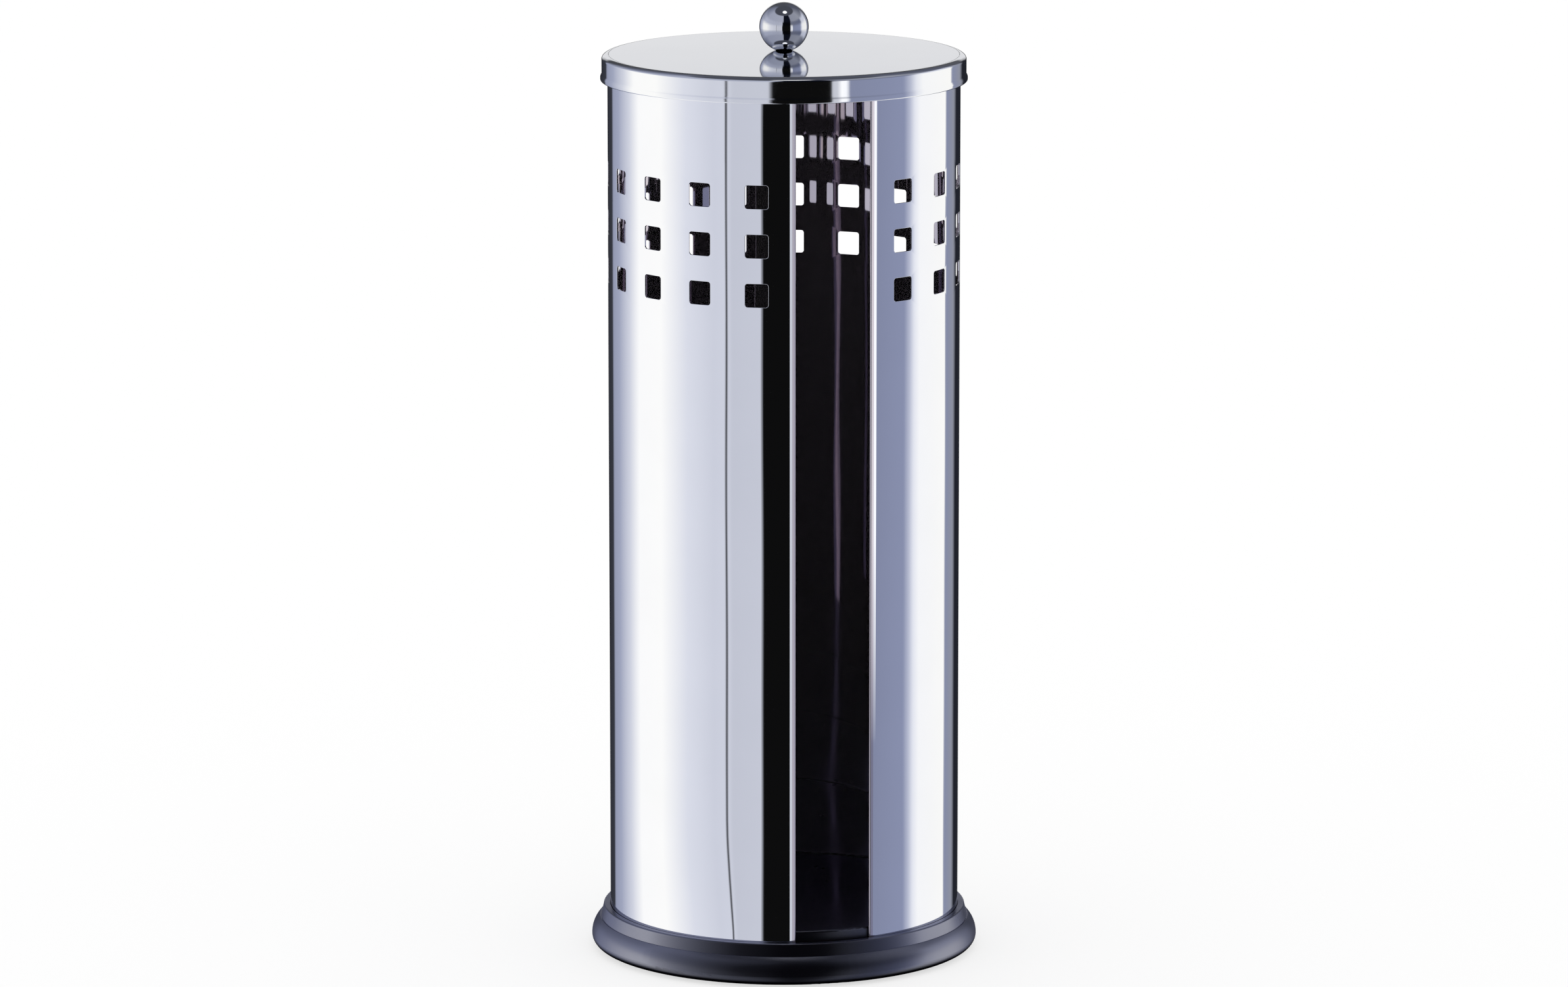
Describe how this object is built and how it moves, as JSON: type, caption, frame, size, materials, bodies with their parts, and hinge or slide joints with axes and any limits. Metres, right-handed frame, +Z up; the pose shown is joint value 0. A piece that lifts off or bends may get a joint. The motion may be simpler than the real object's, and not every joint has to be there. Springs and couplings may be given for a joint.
{
  "type": "toilet roll storage holder",
  "caption": "Tall polished steel tube that stores spare toilet rolls, open along one side and closed by a lift-off lid with a ball knob, on a flared plastic foot.",
  "frame": {"origin": "middle of the ground under the four rubber pads", "axes": "+Z up along the tube, -Y towards the slot at the front, +X to the right seen from the front"},
  "size_m": [0.144, 0.144, 0.3551],
  "materials": {
    "base_plastic": "satin",
    "tube_steel": "polished",
    "lid_steel": "polished",
    "knob_chrome": "polished",
    "fastener_zinc": "satin",
    "pad_rubber": "matte"
  },
  "bodies": {
    "holder": {"base_moulding": "base_plastic", "tube_shell": "tube_steel", "base_screws": "fastener_zinc", "foot_pad_front": "pad_rubber", "foot_pad_right": "pad_rubber", "foot_pad_back": "pad_rubber", "foot_pad_left": "pad_rubber"},
    "lid": {"lid_shell": "lid_steel", "knob_ball": "knob_chrome", "knob_screw": "fastener_zinc", "knob_washer": "fastener_zinc"}
  },
  "joints": [
    {"name": "lid_lift", "type": "slide", "parent": "holder", "child": "lid", "axis": [0, 0, 1], "range_m": [0, 0.12]}
  ]
}
